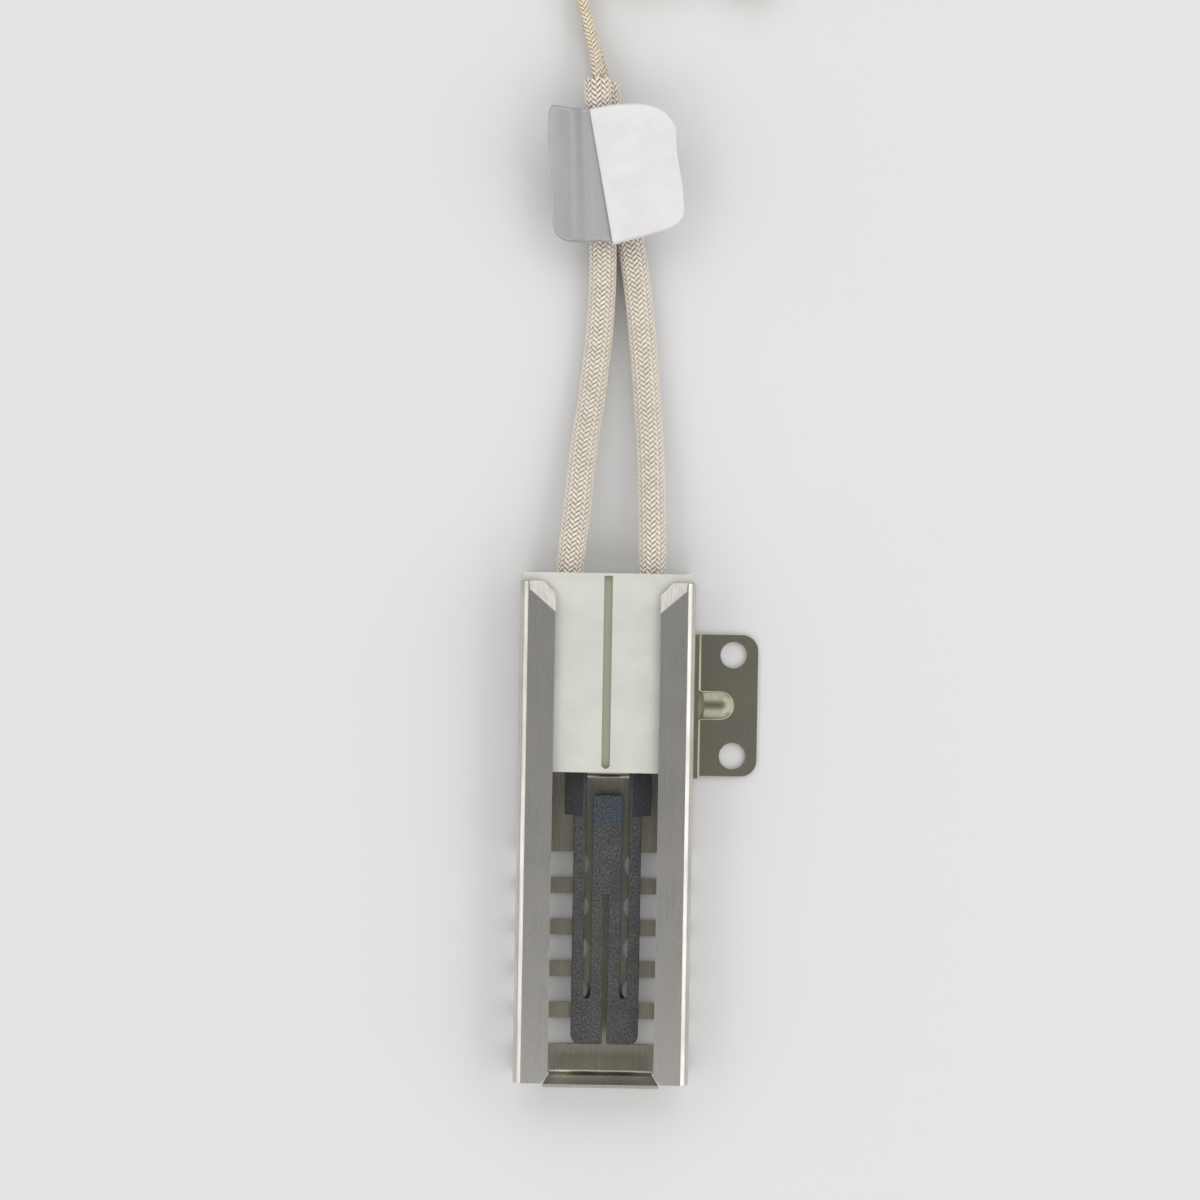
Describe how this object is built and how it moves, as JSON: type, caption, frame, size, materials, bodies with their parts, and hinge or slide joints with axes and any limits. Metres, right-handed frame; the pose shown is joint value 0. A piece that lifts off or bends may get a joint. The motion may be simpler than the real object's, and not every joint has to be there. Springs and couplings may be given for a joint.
{
  "type": "hot surface igniter",
  "caption": "Flat oven-burner igniter: silicon carbide element in a ceramic block, slotted steel guard cage with side bracket, sleeved leads to a plug connector.",
  "frame": {"origin": "midway between the two bracket holes, on the underside of the bracket's tab, which is level with the back of the cage", "axes": "+Z away from the seating face, towards the open window of the cage; +Y along the cage towards the leads; +X from the cage towards the bracket"},
  "size_m": [0.0456, 0.2341, 0.0127],
  "materials": {
    "cage_steel": "rolled stainless sheet with fine grain along the cage",
    "bracket_steel": "dull rolled stainless sheet",
    "weld_steel": "resistance weld metal",
    "steatite": "fired steatite ceramic, pale greenish cream, eggshell sheen",
    "silicon_carbide": "porous recrystallised silicon carbide, fine granular",
    "cement": "rough white refractory cement",
    "nickel": "stamped nickel strip",
    "conductor": "nickel-plated stranded copper",
    "braided_glass": "braided glass-fibre sleeving, cream",
    "lead_insulation": "fine glass braid over the wire, varnished cream",
    "tie_nylon": "natural moulded nylon",
    "tag_paper": "white and silver-grey coated tag, blank",
    "connector_nylon": "natural moulded nylon",
    "contact_brass": "stamped brass"
  },
  "bodies": {
    "root": {"guard_cage": "cage_steel", "mounting_bracket": "bracket_steel", "weld_nuggets": "weld_steel", "ceramic_block": "steatite", "heating_element": "silicon_carbide", "element_cement": "cement", "lead_cement": "cement", "terminal_clip_left": "nickel", "terminal_clip_right": "nickel", "crimp_ferrule_left": "nickel", "crimp_ferrule_right": "nickel", "conductor_left": "conductor", "conductor_right": "conductor", "sleeve_left": "braided_glass", "sleeve_right": "braided_glass", "lead_left_run": "lead_insulation", "lead_right_run": "lead_insulation", "lead_left_coil": "lead_insulation", "lead_right_coil": "lead_insulation", "lead_left_tail": "lead_insulation", "lead_right_tail": "lead_insulation", "coil_tie": "tie_nylon", "folded_tag": "tag_paper", "connector_housing": "connector_nylon", "connector_contact_left": "contact_brass", "connector_contact_right": "contact_brass"}
  },
  "joints": []
}
